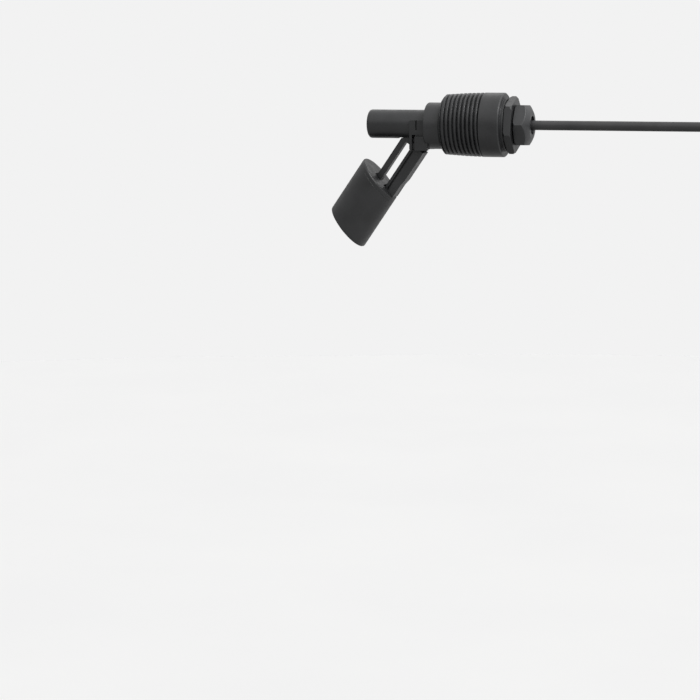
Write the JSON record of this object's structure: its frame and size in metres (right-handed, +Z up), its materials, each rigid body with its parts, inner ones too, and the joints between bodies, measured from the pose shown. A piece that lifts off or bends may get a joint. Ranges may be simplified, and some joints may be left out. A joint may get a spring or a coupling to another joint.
{
  "type": "magnetic liquid level sensor",
  "caption": "Side-mounted magnetic float level switch: a taper-threaded plug with a closed reed-switch stem, a hinged float on an arm below it and a cable gland.",
  "frame": {"origin": "on the thread's axis, at the outer end of the plain collar behind the thread", "axes": "+X along the thread's axis towards the cable, +Z up with the float hanging below, viewer at -Y"},
  "size_m": [0.2192, 0.0266, 0.1133],
  "materials": {
    "body_plastic": "satin moulded thermoplastic",
    "arm_plastic": "satin moulded thermoplastic",
    "float_plastic": "fine-grained moulded thermoplastic",
    "nut_plastic": "satin moulded thermoplastic",
    "washer_plastic": "smooth moulded thermoplastic",
    "sheath": "semi-matt cable sheath",
    "tie_plastic": "smooth moulded thermoplastic",
    "seal_rubber": "matt",
    "resin": "poured, glossy",
    "board": "coated laminate",
    "pin_plastic": "smooth low-friction thermoplastic",
    "blade_alloy": "plated",
    "solder": "bright tin",
    "ferrite": "sintered, dull",
    "reed_glass": "clear, slightly green",
    "core_brown": "smooth insulation",
    "core_blue": "smooth insulation",
    "copper": "bare stranded copper"
  },
  "bodies": {
    "sensor": {"sensor_body": "body_plastic", "gland_nut": "nut_plastic", "gland_washer": "washer_plastic", "gland_seal": "seal_rubber", "reed_glass": "reed_glass", "reed_blade_front": "blade_alloy", "reed_blade_rear": "blade_alloy", "carrier_board": "board", "solder_joints": "solder", "core_brown": "core_brown", "core_blue": "core_blue", "potting_plug": "resin", "cable": "sheath", "cable_coil": "sheath", "cable_tail": "sheath", "coil_tie": "tie_plastic", "end_core_brown": "core_brown", "end_core_blue": "core_blue", "copper_tips": "copper"},
    "float": {"float_arm": "arm_plastic", "hinge_pin": "pin_plastic", "float_shell": "float_plastic", "float_cap": "float_plastic", "magnet": "ferrite", "magnet_plug": "float_plastic"}
  },
  "joints": [
    {"name": "float_hinge", "type": "hinge", "parent": "sensor", "child": "float", "pos_m": [-0.03805, 0, -0.0089], "axis": [0, 1, 0], "range_deg": [-20, 9.5]}
  ]
}
